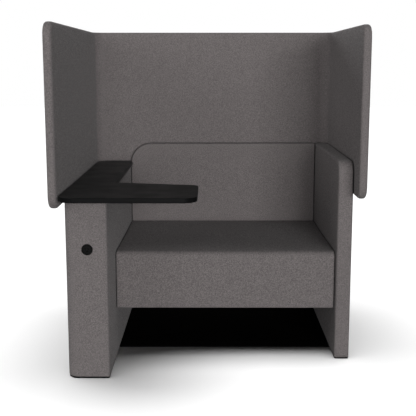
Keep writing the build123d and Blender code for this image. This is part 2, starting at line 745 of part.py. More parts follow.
# The outlet and the grommet.
def outlet_slots(depth, distance, grow):
    """The plug's two blades and its round earth pin, as solids that run back from a distance."""
    z = OUTLET_HEIGHT + EARTH_HOLE_DROP / 3
    half = SLOT_WIDTH / 2 + grow
    tall = SLOT_HEIGHT / 2 + grow
    span = (distance - depth, distance)
    solids = []
    for side in (-1, 1):
        x = OUTLET_X + side * SLOT_SPACING / 2
        solids.append(block((x - half, x + half), span, (z - tall, z + tall)))
    place = at(OUTLET_X, distance, z - EARTH_HOLE_DROP)
    solids.append(rod(place, BACKWARD, EARTH_HOLE_RADIUS + grow, depth))
    return solids


def make_outlet(parts):
    face_distance = PEDESTAL_DEPTH - OUTLET_FACE_RECESS
    rim_front = at(OUTLET_X, PEDESTAL_DEPTH + OUTLET_RIM_THICKNESS, OUTLET_HEIGHT)
    mouth = at(OUTLET_X, PEDESTAL_DEPTH, OUTLET_HEIGHT)
    bore = OUTLET_BARREL_RADIUS - OUTLET_WALL
    rim = tube(rim_front, BACKWARD, OUTLET_RADIUS, bore, OUTLET_RIM_THICKNESS)
    lip = [e for e in rim.edges() if near_value(edge_box(e)[0].Y, rim_front.Y)]
    parts["outlet_bezel"] = chamfer(lip, OUTLET_RIM_THICKNESS / 4)
    shell = rod(mouth, BACKWARD, OUTLET_BARREL_RADIUS, OUTLET_DEPTH)
    hollow = rod(mouth, BACKWARD, bore, OUTLET_DEPTH - OUTLET_WALL)
    parts["outlet_housing"] = shell - hollow
    face_start = at(OUTLET_X, face_distance, OUTLET_HEIGHT)
    face = rod(face_start, BACKWARD, bore - FIT, OUTLET_FACE_THICKNESS)
    parts["outlet_face"] = without(face, outlet_slots(OUTLET_FACE_THICKNESS, face_distance, 0))
    contact_distance = face_distance - OUTLET_FACE_THICKNESS
    contact_depth = OUTLET_DEPTH - OUTLET_WALL - OUTLET_FACE_RECESS - OUTLET_FACE_THICKNESS
    contacts = outlet_slots(contact_depth, contact_distance, OUTLET_WALL / 2)
    cavities = outlet_slots(contact_depth / 2, contact_distance, 0)
    parts["outlet_contacts"] = group([solid - hole for solid, hole in zip(contacts, cavities)])
    nut_distance = PEDESTAL_DEPTH - PEDESTAL_LAYERS - BOARD
    nut_start = at(OUTLET_X, nut_distance, OUTLET_HEIGHT)
    nut_bore = OUTLET_BARREL_RADIUS + FIT
    parts["outlet_nut"] = tube(nut_start, BACKWARD, OUTLET_RADIUS + OUTLET_RIM, nut_bore, OUTLET_RIM)


def outlet_bore():
    place = at(OUTLET_X, PEDESTAL_DEPTH + 1, OUTLET_HEIGHT)
    return rod(place, BACKWARD, OUTLET_BARREL_RADIUS + FIT, OUTLET_DEPTH)


def make_grommet(parts):
    depth = PEDESTAL_LAYERS + BOARD
    mouth = at(PEDESTAL_MID_X, SEAM_GAP, GROMMET_HEIGHT)
    flange_radius = GROMMET_RADIUS + GROMMET_FLANGE
    flange = rod(mouth, BACKWARD, flange_radius, GROMMET_FLANGE_THICKNESS)
    barrel = rod(mouth, FORWARD, GROMMET_RADIUS, depth)
    start = at(PEDESTAL_MID_X, SEAM_GAP - GROMMET_FLANGE_THICKNESS, GROMMET_HEIGHT)
    hole = rod(start, FORWARD, GROMMET_BORE_RADIUS, depth + GROMMET_FLANGE_THICKNESS)
    parts["cable_grommet"] = flange + barrel - hole


def grommet_bore():
    mouth = at(PEDESTAL_MID_X, SEAM_GAP, GROMMET_HEIGHT)
    return rod(mouth, FORWARD, GROMMET_RADIUS + FIT, PEDESTAL_LAYERS + BOARD)


# The whole chair.
def table_screw_runs():
    """Screws up through the pedestal's top board into the worktop."""
    start_z = PEDESTAL_TOP - BOARD - SCREW_HEAD_HEIGHT
    length = SCREW_HEAD_HEIGHT + BOARD + TABLE_THICKNESS * 2 / 3
    places = spread(0, PEDESTAL_DEPTH, 4, TABLE_SCREW_MARGIN)
    return [(at(PEDESTAL_MID_X, distance, start_z), UP, length) for distance in places]


def base_screw_runs():
    length = BASE_BOARD + SCREW_GRIP
    return [(at(*place, GLIDE_PROUD), UP, length) for place in base_screw_places()]


def make_chair():
    parts = {}
    bolts = screen_bolts()
    back_heights = [BASE_TOP + BACK_BOLT_LOW_MARGIN, ARM_TOP - BACK_BOLT_HIGH_MARGIN]
    arm_rear_seat = ARM_X[0] + ARM_LAYERS + ARM_SKIN + ARM_POST_GRIP
    back_left, back_right = cross_bolts(BACK_BOARD_MID, back_heights, arm_rear_seat)
    seat_left, seat_right = [], []
    arm_rail_seat = ARM_X[1] - ARM_LAYERS - ARM_SKIN
    for distance in spread(SEAT_REAR, SEAT_FRONT, 2, SEAT_BOLT_MARGIN):
        left, right = cross_bolts(distance, [RAIL_MID_HEIGHT], arm_rail_seat)
        seat_left += left
        seat_right += right
    all_bolts = sum(bolts.values(), []) + back_left + back_right + seat_left + seat_right
    glides = glide_places()
    base_runs = base_screw_runs()
    table_runs = table_screw_runs()
    base_bores = sum([screw_bores(*run) for run in base_runs], [])
    table_bores = sum([screw_bores(*run) for run in table_runs], [])

    left_bolts = back_left + seat_left
    right_bolts = back_right + seat_right
    into_pedestal = bolts["pedestal"]
    shared = {
        "pedestal_bores": [bolt.shank_bore() for bolt in left_bolts + into_pedestal]
        + [bolt.head_bore() for bolt in left_bolts]
        + [bolt.insert_bore() for bolt in into_pedestal]
        + glide_bores(glides) + base_bores + table_bores
        + [outlet_bore(), grommet_bore()],
        "arm_bores": [bolt.shank_bore() for bolt in right_bolts + bolts["arm"]]
        + [bolt.head_bore() for bolt in right_bolts]
        + [bolt.insert_bore() for bolt in bolts["arm"]]
        + glide_bores(glides) + base_bores,
        "slab_bores": [bolt.shank_bore() for bolt in left_bolts + right_bolts + bolts["back"]]
        + [bolt.insert_bore() for bolt in left_bolts + right_bolts + bolts["back"]],
        "table_bores": table_bores,
    }
    make_screen(parts, bolts)
    make_pedestal(parts, shared)
    make_arm(parts, shared)
    make_back(parts, shared)
    make_seat(parts, shared)
    make_tabletop(parts, shared)
    make_base(parts, glides, {"bores": base_bores, "solids": [screw(*run) for run in base_runs]})
    make_glides(parts, glides)
    make_outlet(parts)
    make_grommet(parts)
    parts["tabletop_screws"] = group(screw(*run) for run in table_runs)
    parts["screen_bolts"] = group(bolt.solid() for bolt in sum(bolts.values(), []))
    parts["back_bolts"] = group(bolt.solid() for bolt in back_left + back_right)
    parts["seat_bolts"] = group(bolt.solid() for bolt in seat_left + seat_right)
    parts["insert_nuts"] = group(bolt.insert() for bolt in all_bolts)
    return parts


os.makedirs("parts", exist_ok=True)
for node, shape in make_chair().items():
    export_step(shape, "parts/" + node + ".step")
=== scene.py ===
# %% [markdown]
# # An acoustic lounge chair, dressed in fabric
# The chair is a padded screen, bent in a U, round a seat. A pedestal at the left carries a black
# worktop and a small round outlet, and a slab arm closes the right side. The rigid pieces come
# from the frame at their real size. Here every upholstered piece is modelled again as a soft
# form, and every surface gets its finish.

# %% Load the frame
import json
import math

import bmesh
import bpy
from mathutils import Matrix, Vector


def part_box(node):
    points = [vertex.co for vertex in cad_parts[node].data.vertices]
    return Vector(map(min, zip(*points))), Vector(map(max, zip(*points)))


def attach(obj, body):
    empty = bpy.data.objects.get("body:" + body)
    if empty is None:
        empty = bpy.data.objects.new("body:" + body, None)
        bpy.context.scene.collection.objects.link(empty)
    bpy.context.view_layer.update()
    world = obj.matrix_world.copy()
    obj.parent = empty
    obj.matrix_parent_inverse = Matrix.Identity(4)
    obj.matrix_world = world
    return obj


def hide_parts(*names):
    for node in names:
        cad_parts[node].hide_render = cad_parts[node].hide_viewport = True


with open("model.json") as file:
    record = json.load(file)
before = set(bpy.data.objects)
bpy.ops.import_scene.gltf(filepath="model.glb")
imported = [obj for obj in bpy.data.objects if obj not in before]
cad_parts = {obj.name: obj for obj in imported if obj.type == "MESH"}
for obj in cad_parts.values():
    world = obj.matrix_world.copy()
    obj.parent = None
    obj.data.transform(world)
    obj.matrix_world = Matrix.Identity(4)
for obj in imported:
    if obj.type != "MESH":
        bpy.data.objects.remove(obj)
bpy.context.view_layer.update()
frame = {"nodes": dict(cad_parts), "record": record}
nodes = frame["nodes"]
CHAIR = "chair"
MM = 0.001

# %% [markdown]
# ## The camera
# A long lens a few metres away keeps upright edges nearly parallel. The camera stands a little
# higher than the screen's middle and looks slightly down. It comes first, so that each later
# step can be judged in the same view.

# %% Camera
LENS_MM = 72.343
SENSOR_MM = 36.0
CAMERA_PLACE = (-8.8 * MM, -3553.3 * MM, 1210 * MM)
CAMERA_PITCH = 0.1707756
CAMERA_YAW = 0.0032724

lens = bpy.data.cameras.new("camera")
lens.lens, lens.sensor_width = LENS_MM, SENSOR_MM
camera = bpy.data.objects.new("camera", lens)
camera.location = CAMERA_PLACE
camera.rotation_euler = (math.pi / 2 - CAMERA_PITCH, 0, CAMERA_YAW)
bpy.context.scene.collection.objects.link(camera)
bpy.context.scene.camera = camera
print("camera at", [round(value, 3) for value in camera.location])

# %% [markdown]
# ## Working as by hand
# Modelling operators act on what is selected, so each step first selects exactly what it means
# to change. These helpers do that: one piece is opened for editing, faces or edges are picked by
# where they are, and the piece is closed again.

# %% Helpers for selecting
def leave_edit_mode():
    if bpy.context.mode != "OBJECT":
        bpy.ops.object.mode_set(mode="OBJECT")


def select_only(piece):
    leave_edit_mode()
    bpy.ops.object.select_all(action="DESELECT")
    piece.select_set(True)
    bpy.context.view_layer.objects.active = piece


def open_piece(piece, kind="EDGE"):
    """Open a piece for editing, with nothing selected."""
    select_only(piece)
    bpy.ops.object.mode_set(mode="EDIT")
    bpy.ops.mesh.select_mode(type=kind)
    bpy.ops.mesh.select_all(action="DESELECT")


def pick_edges(piece, is_wanted):
    """Select the edges whose two end points pass the test."""
    mesh = bmesh.from_edit_mesh(piece.data)
    chosen = [edge for edge in mesh.edges if is_wanted(edge.verts[0].co, edge.verts[1].co)]
    for edge in chosen:
        edge.select_set(True)
    bmesh.update_edit_mesh(piece.data)
    return len(chosen)


def pick_faces(piece, is_wanted):
    """Select the faces whose middle passes the test."""
    mesh = bmesh.from_edit_mesh(piece.data)
    chosen = [face for face in mesh.faces if is_wanted(face.calc_center_median())]
    for face in chosen:
        face.select_set(True)
    bmesh.update_edit_mesh(piece.data)
    return len(chosen)


def same(value, target, slack=0.1 * MM):
    return abs(value - target) < slack


def edge_at(**places):
    """A test for the edge that lies along one axis, at the given places on the other two."""
    return lambda a, b: all(same(getattr(end, axis), place)
                            for end in (a, b) for axis, place in places.items())


# %% [markdown]
# ## Blocks with soft edges
# Every upholstered part begins as a block of the size that the frame gives. Its large corners
# are beveled first, while the block has only a few edges, because a bevel can't pass a nearby
# edge. Then its rims are rounded, and the flat faces are cut into a grid, so that the cloth can
# swell evenly later.

# %% Helpers for blocks
GRID = 28 * MM
SHARP = math.radians(60)


def add_block(name, low, high):
    """A block between two corners, with its place in its mesh."""
    leave_edit_mode()
    bpy.ops.object.select_all(action="DESELECT")
    middle = [(low[axis] + high[axis]) / 2 for axis in range(3)]
    bpy.ops.mesh.primitive_cube_add(size=1, location=middle)
    piece = bpy.context.object
    piece.name = piece.data.name = name
    piece.scale = [high[axis] - low[axis] for axis in range(3)]
    bpy.ops.object.transform_apply(location=True, rotation=True, scale=True)
    return piece


def round_picked(radius, segments):
    bpy.ops.mesh.bevel(offset=radius, segments=segments, profile=0.5, affect="EDGES",
                       clamp_overlap=False)


def round_edges(piece, is_wanted, radius, segments):
    open_piece(piece)
    count = pick_edges(piece, is_wanted)
    round_picked(radius, segments)
    leave_edit_mode()
    print(piece.name, "rounded", count, "edges by", round(radius / MM, 1), "mm")


def round_rims(piece, radius, segments, is_kept=None):
    """Round every edge that is still sharp, apart from those that the test keeps."""
    open_piece(piece)
    bpy.ops.mesh.edges_select_sharp(sharpness=SHARP)
    if is_kept:
        mesh = bmesh.from_edit_mesh(piece.data)
        for edge in mesh.edges:
            if edge.select and is_kept(edge.verts[0].co, edge.verts[1].co):
                edge.select_set(False)
        bmesh.update_edit_mesh(piece.data)
    round_picked(radius, segments)
    leave_edit_mode()


def cut_at(piece, axis, places):
    """Cut a piece with planes square to an axis, at the given places."""
    normal = [0, 0, 0]
    normal[axis] = 1
    open_piece(piece)
    for place in places:
        bpy.ops.mesh.select_all(action="SELECT")
        through = [0, 0, 0]
        through[axis] = place
        bpy.ops.mesh.bisect(plane_co=through, plane_no=normal)
    leave_edit_mode()


def even_cuts(low, high, spacing=GRID):
    """Places between two limits, evenly spaced and about one grid step apart."""
    count = max(2, round((high - low) / spacing))
    return [low + (high - low) * index / count for index in range(1, count)]


# %% [markdown]
# ## Fabric over foam
# A real cover is pulled over foam, which pushes back, so each free face swells a little between
# its edges. Blender's cloth with some pressure gives that swelling. The rims and the faces that
# touch a neighbour are pinned, and the movement is scaled to the few millimetres that firm foam
# gives. It is scaled and not cut off, because a cut leaves a flat step in the middle.

# %% Helpers for soft forms
CLOTH_SETTINGS = {
    "quality": 4,
    "mass": 0.4,
    "tension_stiffness": 25,
    "compression_stiffness": 25,
    "bending_stiffness": 2,
    "use_pressure": True,
    "uniform_pressure_force": 4.0,
    "vertex_group_mass": "held",
}
LAST_FRAME = 20
CLOSE = 0.05 * MM
TOUCH = 1 * MM


def swell(piece, most, freedom):
    """Blow a piece up by cloth simulation. freedom gives each point's share of the movement, from
    0, where it is held, to 1."""
    open_piece(piece)
    bpy.ops.mesh.select_all(action="SELECT")
    bpy.ops.mesh.remove_doubles(threshold=CLOSE)
    bpy.ops.mesh.normals_make_consistent(inside=False)
    leave_edit_mode()
    mesh = piece.data
    start = [point.co.copy() for point in mesh.vertices]
    shares = [freedom(point.co) for point in mesh.vertices]
    select_only(piece)
    held = piece.vertex_groups.new(name="held")
    held.add([index for index, share in enumerate(shares) if share <= 0], 1.0, "REPLACE")
    cloth = piece.modifiers.new("cloth", "CLOTH")
    for setting, value in CLOTH_SETTINGS.items():
        setattr(cloth.settings, setting, value)
    cloth.settings.effector_weights.gravity = 0
    cloth.point_cache.frame_start, cloth.point_cache.frame_end = 1, LAST_FRAME
    for number in range(1, LAST_FRAME + 1):
        bpy.context.scene.frame_set(number)
    graph = bpy.context.evaluated_depsgraph_get()
    moved = [point.co.copy() for point in piece.evaluated_get(graph).data.vertices]
    piece.modifiers.remove(cloth)
    piece.vertex_groups.remove(held)
    steps = [(after - before) * share for before, after, share in zip(start, moved, shares)]
    largest = max(step.length for step in steps)
    scale = min(1.0, most / max(largest, CLOSE))
    for point, before, step in zip(mesh.vertices, start, steps):
        point.co = before + step * scale
    bpy.context.scene.frame_set(1)
    print(piece.name, "swelled by", round(largest * scale / MM, 2), "mm at most")


def smooth_step(value, start, end):
    """0 before start, 1 after end, and a smooth rise between them."""
    share = min(1.0, max(0.0, (value - start) / (end - start)))
    return share * share * (3 - 2 * share)


def finish_soft(piece):
    """Subdivide a soft piece once, smooth its shading and lay its weave by box projection. Edges
    that are still sharp, where the piece meets a neighbour, are creased, so that they stay."""
    open_piece(piece)
    bpy.ops.mesh.edges_select_sharp(sharpness=SHARP)
    bpy.ops.transform.edge_crease(value=1)
    leave_edit_mode()
    rounder = piece.modifiers.new("rounder", "SUBSURF")
    rounder.levels = rounder.render_levels = 1
    bpy.ops.object.modifier_apply(modifier=rounder.name)
    open_piece(piece, "FACE")
    bpy.ops.mesh.select_all(action="SELECT")
    bpy.ops.mesh.normals_make_consistent(inside=False)
    bpy.ops.uv.cube_project(cube_size=1.0, correct_aspect=False, clip_to_bounds=False,
                            scale_to_bounds=False)
    leave_edit_mode()
    bpy.ops.object.shade_smooth()


def dress(piece, finish, slot, body, *replaced):
    """Give a piece its finish, hang it on the empty of the body it rides on, and hide the frame's
    parts that it stands for.
    """
    piece.data.materials.clear()
    piece.data.materials.append(finish)
    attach(piece, body)
    if replaced:
        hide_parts(*replaced)
    print(piece.name, len(piece.data.polygons), "faces")


# %% [markdown]
# ## Finishes from nodes
# A finish is a small network of nodes: patterns feed a colour and a bump, and those feed one
# Principled shader. A helper makes the nodes and links by name, so that each finish below reads
# as a short recipe.

# %% Helpers for finishes
class Finish:
    """A material under construction, with short ways to add nodes and links."""

    def __init__(self, name):
        self.material = bpy.data.materials.new(name)
        self.material.use_nodes = True
        self.tree = self.material.node_tree
        self.tree.nodes.clear()
        self.out = self.tree.nodes.new("ShaderNodeOutputMaterial")
        self.shader = self.tree.nodes.new("ShaderNodeBsdfPrincipled")
        self.link(self.shader.outputs["BSDF"], self.out.inputs["Surface"])
        self.places = self.tree.nodes.new("ShaderNodeTexCoord")

    def link(self, source, target):
        self.tree.links.new(source, target)

    def node(self, kind, inputs=None, **settings):
        made = self.tree.nodes.new("ShaderNode" + kind)
        for key, value in settings.items():
            setattr(made, key, value)
        for key, value in (inputs or {}).items():
            if isinstance(value, bpy.types.NodeSocket):
                self.link(value, made.inputs[key])
            else:
                made.inputs[key].default_value = value
        return made

    def noise(self, scale, detail=2.0, roughness=0.5, stretch=(1, 1, 1)):
        """Noise on the piece's own coordinates; its features are about 1/scale metres wide."""
        spread = self.node("Mapping", {"Vector": self.places.outputs["Object"], "Scale": stretch})
        made = self.node("TexNoise", {"Vector": spread.outputs["Vector"], "Scale": scale,
                                      "Detail": detail, "Roughness": roughness})
        return made.outputs["Fac"]

    def ramp(self, value, stops):
        """Colours along a value, each stop a place and a colour."""
        made = self.node("ValToRGB", {"Fac": value})
        marks = made.color_ramp.elements
        while len(marks) < len(stops):
            marks.new(0.5)
        for mark, (place, colour) in zip(marks, stops):
            mark.position = place
            mark.color = (*colour, 1)
        return made.outputs["Color"]

    def mix(self, share, first, second, blend="MIX"):
        made = self.tree.nodes.new("ShaderNodeMix")
        made.data_type, made.blend_type = "RGBA", blend
        for index, value in ((0, share), (6, first), (7, second)):
            if isinstance(value, bpy.types.NodeSocket):
                self.link(value, made.inputs[index])
            else:
                made.inputs[index].default_value = value if index == 0 else (*value, 1)
        return made.outputs[2]

    def maths(self, operation, first, second):
        made = self.tree.nodes.new("ShaderNodeMath")
        made.operation = operation
        for index, value in enumerate((first, second)):
            if isinstance(value, bpy.types.NodeSocket):
                self.link(value, made.inputs[index])
            else:
                made.inputs[index].default_value = value
        return made.outputs[0]

    def bump(self, height, depth, strength=1.0, under=None):
        made = self.node("Bump", {"Height": height, "Distance": depth, "Strength": strength})
        if under is not None:
            self.link(under, made.inputs["Normal"])
        return made.outputs["Normal"]

    def set(self, **values):
        """Set the shader's sockets: a plain value, or another node's output."""
        for name, value in values.items():
            socket = self.shader.inputs[name.replace("_", " ")]
            if isinstance(value, bpy.types.NodeSocket):
                self.link(value, socket)
            elif socket.type == "RGBA":
                socket.default_value = (*value, 1)
            else:
                socket.default_value = value
        return self.material


def grey(level):
    return (level, level, level)


def shade(colour, factor):
    return tuple(factor * part for part in colour)


# %% [markdown]
# ### The fabric
# The cover is a warm dark grey wool cloth. Its yarns are spun from darker and lighter fibres, so
# the colour breaks up into grain a few millimetres wide, with fainter, broader clouds. The weave
# is plain: warp and weft pass over each other in turn, which is a checker that chooses between
# two sets of ridges. The weave follows each piece's own map, and the grain its own coordinates.
# Where two pads meet, shade is painted into the crease between them: an occlusion node finds such
# places and darkens the colour there.

# %% Fabric
THREADS_PER_METRE = 560
WAVE_PER_THREAD = math.pi / 10
FABRIC_DARK = (0.092, 0.083, 0.0825)
FABRIC_MIDDLE = (0.142, 0.128, 0.1275)
FABRIC_LIGHT = (0.207, 0.187, 0.186)
YARN_SCALE, FIBRE_SCALE, CLOUD_SCALE = 420, 290, 26
YARN_SHARE, FIBRE_SHARE = 0.4, 0.6
ALONG_CLOTH = (1, 0.2, 1)
GRAIN_SHADES = [(0.34, FABRIC_DARK), (0.5, FABRIC_MIDDLE), (0.67, FABRIC_LIGHT)]
CLOUD_SHADES = [(0.3, grey(0.97)), (0.7, grey(1.03))]
# How far the painted shade in creases reaches, and its colours.
PAINTED_SHADE_REACH = 9 * MM
PAINTED_CREASE_SHADE = [(0.25, grey(0.05)), (0.85, grey(1))]


def weave_height(finish):
    """The height of a plain weave: ridges one way or the other, by a checker."""
    cloth_map = finish.places.outputs["UV"]
    ridges = []
    for direction in ("X", "Y"):
        wave = finish.node("TexWave", {"Vector": cloth_map, "Distortion": 0.0,
                                       "Scale": THREADS_PER_METRE * WAVE_PER_THREAD},
                           wave_type="BANDS", bands_direction=direction)
        ridges.append(wave.outputs["Fac"])
    checker = finish.node("TexChecker", {"Vector": cloth_map, "Scale": THREADS_PER_METRE})
    across = finish.maths("MULTIPLY", ridges[0], checker.outputs["Fac"])
    along = finish.maths("MULTIPLY", ridges[1],
                         finish.maths("SUBTRACT", 1.0, checker.outputs["Fac"]))
    return finish.maths("ADD", across, along)


def make_fabric():
    finish = Finish("fabric")
    yarn = finish.noise(YARN_SCALE, detail=3, roughness=0.65)
    fibres = finish.noise(FIBRE_SCALE, detail=1, stretch=ALONG_CLOTH)
    clouds = finish.noise(CLOUD_SCALE)
    grain = finish.maths("ADD", finish.maths("MULTIPLY", yarn, YARN_SHARE),
                         finish.maths("MULTIPLY", fibres, FIBRE_SHARE))
    colour = finish.ramp(grain, GRAIN_SHADES)
    colour = finish.mix(1.0, colour, finish.ramp(clouds, CLOUD_SHADES), "MULTIPLY")
    # Painted shade: the colour is darkened where an occlusion node finds a crease between pads.
    painted_shade_occlusion = finish.node("AmbientOcclusion", {"Distance": PAINTED_SHADE_REACH}, samples=8)
    painted_crease_shade = finish.ramp(painted_shade_occlusion.outputs["AO"], PAINTED_CREASE_SHADE)
    colour = finish.mix(1.0, colour, painted_crease_shade, "MULTIPLY")
    weave = finish.bump(weave_height(finish), 0.35 * MM, 0.6)
    fuzz = finish.bump(yarn, 0.4 * MM, 0.5, under=weave)
    return finish.set(Base_Color=colour, Normal=fuzz, Roughness=0.95, Specular_IOR_Level=0.15,
                      Sheen_Weight=0.12, Sheen_Roughness=0.5)


FABRIC = make_fabric()
print("fabric:", THREADS_PER_METRE, "threads per metre")

# %% [markdown]
# ### The screen
# The screen is one long board in a foam sleeve. It could be three blocks, but then the bends
# would show joints. Instead one upright end face is drawn along the U: extruded along a wing,
# spun round a corner, and so on to the other wing's front.

# %% Screen
SCREEN_THICKNESS = 33 * MM
SCREEN_INNER_RADIUS = 50 * MM
SCREEN_EDGE_RADIUS = 12 * MM
WING_CORNER_RADIUS = 50 * MM
SCREEN_SWELL = 1.2 * MM
SCREEN_FADE = 60 * MM
INNER_FACE_SLACK = 5 * MM
CORNER_STEPS = 8
RIGHT_WING_DEPTH = 920 * MM

screen_low, screen_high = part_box("screen_cover")
arm_low, arm_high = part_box("arm_cover")
back_face_y = screen_high.y - SCREEN_THICKNESS
right_front_y = back_face_y - RIGHT_WING_DEPTH
bend_y = back_face_y - SCREEN_INNER_RADIUS
bend_x = screen_high.x - SCREEN_THICKNESS - SCREEN_INNER_RADIUS


def draw_on(step):
    bpy.ops.mesh.extrude_region_move(TRANSFORM_OT_translate={"value": step})


def turn_round(centre):
    """Spin the selected end by a quarter turn, clockwise from above."""
    bpy.ops.mesh.spin(steps=CORNER_STEPS, angle=math.pi / 2, center=centre, axis=(0, 0, 1))


def make_screen():
    leave_edit_mode()
    bpy.ops.object.select_all(action="DESELECT")
    middle = (screen_low.x + SCREEN_THICKNESS / 2, screen_low.y,
              (screen_low.z + screen_high.z) / 2)
    bpy.ops.mesh.primitive_plane_add(size=1, location=middle, rotation=(math.pi / 2, 0, 0))
    screen = bpy.context.object
    screen.name = screen.data.name = "screen_padding"
    screen.scale = (SCREEN_THICKNESS, screen_high.z - screen_low.z, 1)
    bpy.ops.object.transform_apply(location=True, rotation=True, scale=True)
    open_piece(screen, "FACE")
    bpy.ops.mesh.select_all(action="SELECT")
    draw_on((0, bend_y - screen_low.y, 0))
    turn_round((-bend_x, bend_y, 0))
    draw_on((2 * bend_x, 0, 0))
    turn_round((bend_x, bend_y, 0))
    draw_on((0, right_front_y - bend_y, 0))
    bpy.ops.mesh.select_all(action="SELECT")
    bpy.ops.mesh.normals_make_consistent(inside=False)
    leave_edit_mode()
    return screen


def is_wing_corner(a, b):
    """An edge across a wing's front end, at its top or its bottom."""
    at_front = same(a.y, screen_low.y) or same(a.y, right_front_y)
    at_end = same(a.z, screen_low.z) or same(a.z, screen_high.z)
    return at_front and at_end and same(a.y, b.y) and same(a.z, b.z)


def screen_freedom(place):
    """The faces are free, apart from where the arm, the back and the worktop touch them."""
    front = right_front_y if place.x > 0 else screen_low.y
    edge = min(place.z - screen_low.z, screen_high.z - place.z, place.y - front)
    if edge < SCREEN_EDGE_RADIUS:
        return 0
    inside = abs(place.x) < screen_high.x - SCREEN_THICKNESS / 2
    if inside and place.y < back_face_y + INNER_FACE_SLACK:
        return smooth_step(place.z, arm_high.z, arm_high.z + SCREEN_FADE)
    return 1


screen = make_screen()
round_edges(screen, is_wing_corner, WING_CORNER_RADIUS, segments=6)
round_rims(screen, SCREEN_EDGE_RADIUS, segments=4)
cut_at(screen, 0, even_cuts(-bend_x, bend_x))
cut_at(screen, 1, even_cuts(screen_low.y + WING_CORNER_RADIUS, bend_y))
cut_at(screen, 2, even_cuts(screen_low.z + WING_CORNER_RADIUS,
                            screen_high.z - WING_CORNER_RADIUS))
swell(screen, SCREEN_SWELL, screen_freedom)
finish_soft(screen)
dress(screen, FABRIC, "fabric", CHAIR, "screen_cover", "screen_foam")

# %% [markdown]
# ### The back
# The back is a thin slab between pedestal and arm, with a large round corner at its top left and
# a small one at its top right. It swells only where nothing touches it: on its front, above the
# seat.

# %% Back
BACK_CORNER_RADIUS = 98 * MM
BACK_EDGE_RADIUS = 6 * MM
BACK_SMALL_RADIUS = 10 * MM
BACK_SEAM = 1 * MM
BACK_SWELL = 3.5 * MM
FADE = 50 * MM

back_low, back_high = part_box("back_cover")
seat_low, seat_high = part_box("seat_cover")


def back_freedom(place):
    sides = min(place.x - back_low.x, back_high.x - place.x, back_high.z - place.z)
    on_front = same(place.y, back_low.y, TOUCH)
    if not on_front or sides < BACK_EDGE_RADIUS:
        return 0
    return smooth_step(place.z, seat_high.z, seat_high.z + FADE)


def is_behind_or_low(a, b):
    on_front = same(a.y, back_low.y) and same(b.y, back_low.y)
    return not on_front or (same(a.z, back_low.z) and same(b.z, back_low.z))


back_low.x, back_high.x = back_low.x + BACK_SEAM, back_high.x - BACK_SEAM
back = add_block("back_padding", back_low, back_high)
round_edges(back, edge_at(x=back_low.x, z=back_high.z), BACK_CORNER_RADIUS, segments=10)
round_edges(back, edge_at(x=back_high.x, z=back_high.z), BACK_SMALL_RADIUS, segments=4)
round_rims(back, BACK_EDGE_RADIUS, segments=4, is_kept=is_behind_or_low)
cut_at(back, 0, even_cuts(back_low.x + BACK_CORNER_RADIUS, back_high.x - BACK_EDGE_RADIUS))
cut_at(back, 2, even_cuts(back_low.z, back_high.z - BACK_CORNER_RADIUS))
swell(back, BACK_SWELL, back_freedom)
finish_soft(back)
dress(back, FABRIC, "fabric", CHAIR, "back_cover", "back_foam")

# %% [markdown]
# ### The seat
# The seat is a deep foam block. Its upper front edge rolls over where the knees rest and stands
# a few millimetres higher than the rear, its lower front edge is tight, and its top swells the
# most. Underneath, the cover ends in a hem round a shallow recess for the dust cover.

# %% Seat
SEAT_SHOULDER = 440 * MM
SEAT_FRONT_RADIUS = 22 * MM
SEAT_FRONT_RISE = 7 * MM
RISE_FROM_BOTTOM = 80 * MM
RISE_FROM_REAR = 300 * MM
SEAT_SEAM = 1.5 * MM
SEAT_UNDER_RADIUS = 8 * MM
SEAT_SIDE_RADIUS = 3 * MM
SEAT_SWELL = 6 * MM
DUST_RECESS = 1.8 * MM
DUST_GAP = 0.5 * MM

dust_low, dust_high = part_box("seat_dust_cover")


def seat_freedom(place):
    sides = min(place.x - seat_low.x, seat_high.x - place.x)
    if sides < SEAT_SIDE_RADIUS or place.z < seat_low.z + SEAT_UNDER_RADIUS:
        return 0
    return smooth_step(seat_high.y - place.y, 0, FADE)


def raise_front(piece):
    """Lift the upper part of the seat, the more the nearer it is to the front."""
    for point in piece.data.vertices:
        up = smooth_step(point.co.z, seat_low.z + RISE_FROM_BOTTOM,
                         SEAT_SHOULDER - SEAT_FRONT_RADIUS)
        forward = smooth_step(seat_high.y - point.co.y, RISE_FROM_REAR, seat_high.y - seat_low.y)
        point.co.z += SEAT_FRONT_RISE * up * forward


seat_low.x, seat_high.x = seat_low.x + SEAT_SEAM, seat_high.x - SEAT_SEAM
seat_top_corner = Vector((seat_high.x, seat_high.y, SEAT_SHOULDER))
seat = add_block("seat_cushion", seat_low, seat_top_corner)
round_edges(seat, edge_at(y=seat_low.y, z=SEAT_SHOULDER), SEAT_FRONT_RADIUS, segments=8)
round_edges(seat, edge_at(y=seat_low.y, z=seat_low.z), SEAT_UNDER_RADIUS, segments=3)
round_rims(seat, SEAT_SIDE_RADIUS, segments=3)
cut_at(seat, 0, even_cuts(seat_low.x + SEAT_SIDE_RADIUS, seat_high.x - SEAT_SIDE_RADIUS))
cut_at(seat, 1, even_cuts(seat_low.y + SEAT_FRONT_RADIUS, seat_high.y - SEAT_SIDE_RADIUS))
cut_at(seat, 2, even_cuts(seat_low.z + SEAT_UNDER_RADIUS, SEAT_SHOULDER - SEAT_FRONT_RADIUS))
swell(seat, SEAT_SWELL, seat_freedom)
raise_front(seat)
finish_soft(seat)


def is_bottom(middle):
    return same(middle.z, seat_low.z, TOUCH)


def is_in_mouth(middle):
    return (is_bottom(middle) and mouth_low.x < middle.x < mouth_high.x
            and mouth_low.y < middle.y < mouth_high.y)


def cut_bottom(piece, axis, place):
    """Cut only the bottom of a piece with one plane."""
    normal, through = [0, 0, 0], [0, 0, 0]
    normal[axis], through[axis] = 1, place
    open_piece(piece, "FACE")
    pick_faces(piece, is_bottom)
    bpy.ops.mesh.bisect(plane_co=through, plane_no=normal)
    leave_edit_mode()


